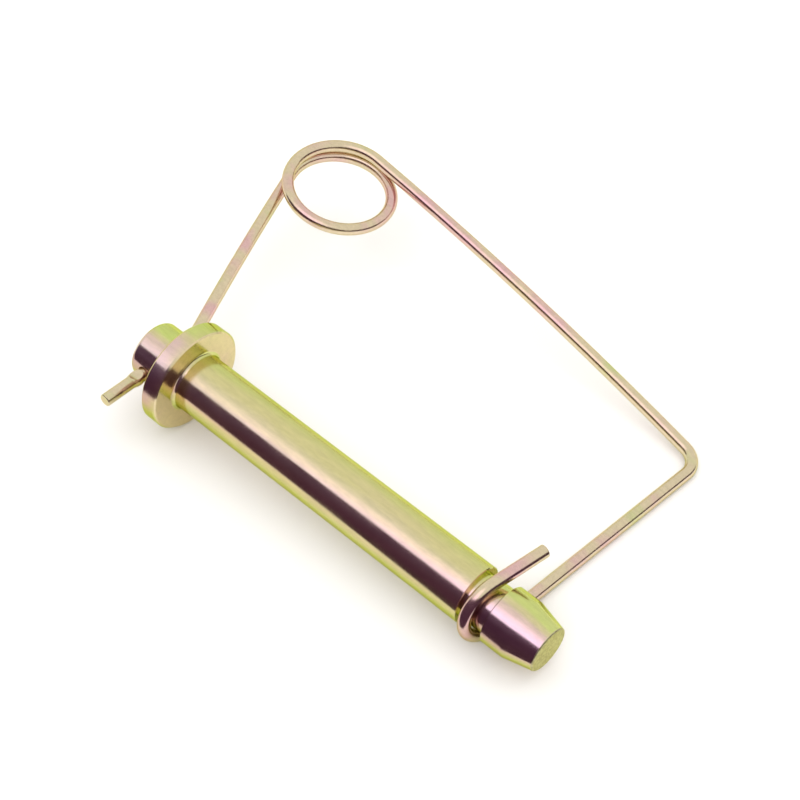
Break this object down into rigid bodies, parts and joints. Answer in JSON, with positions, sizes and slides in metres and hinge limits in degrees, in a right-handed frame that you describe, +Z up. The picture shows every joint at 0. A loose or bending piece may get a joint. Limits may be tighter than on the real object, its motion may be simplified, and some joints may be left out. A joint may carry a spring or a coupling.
{
  "type": "hitch pin",
  "caption": "Collared steel hitch pin whose spring-wire lock hinges in the head and hooks round a groove near the tip.",
  "frame": {"origin": "middle of the part's outline on the ground that it lies on", "axes": "+Z up from the ground, +X along the pin from its head to its tip as seen from above, +Y from the pin towards the wire's coil"},
  "size_m": [0.1845, 0.1358, 0.0352],
  "materials": {
    "pin_plating": "forged and turned steel with yellow passivated zinc plating, bright, with green and pink tints",
    "wire_plating": "drawn spring steel wire with yellow passivated zinc plating"
  },
  "bodies": {
    "pin": {"pin_body": "pin_plating"},
    "lock": {"wire_lock": "wire_plating"}
  },
  "joints": [
    {"name": "lock_swing", "type": "hinge", "parent": "pin", "child": "lock", "pos_m": [-0.06019, -0.04268, 0.01805], "axis": [-0.0004, -1, -0.0089], "range_deg": [0, 180], "deforming": ["wire_lock"]}
  ]
}
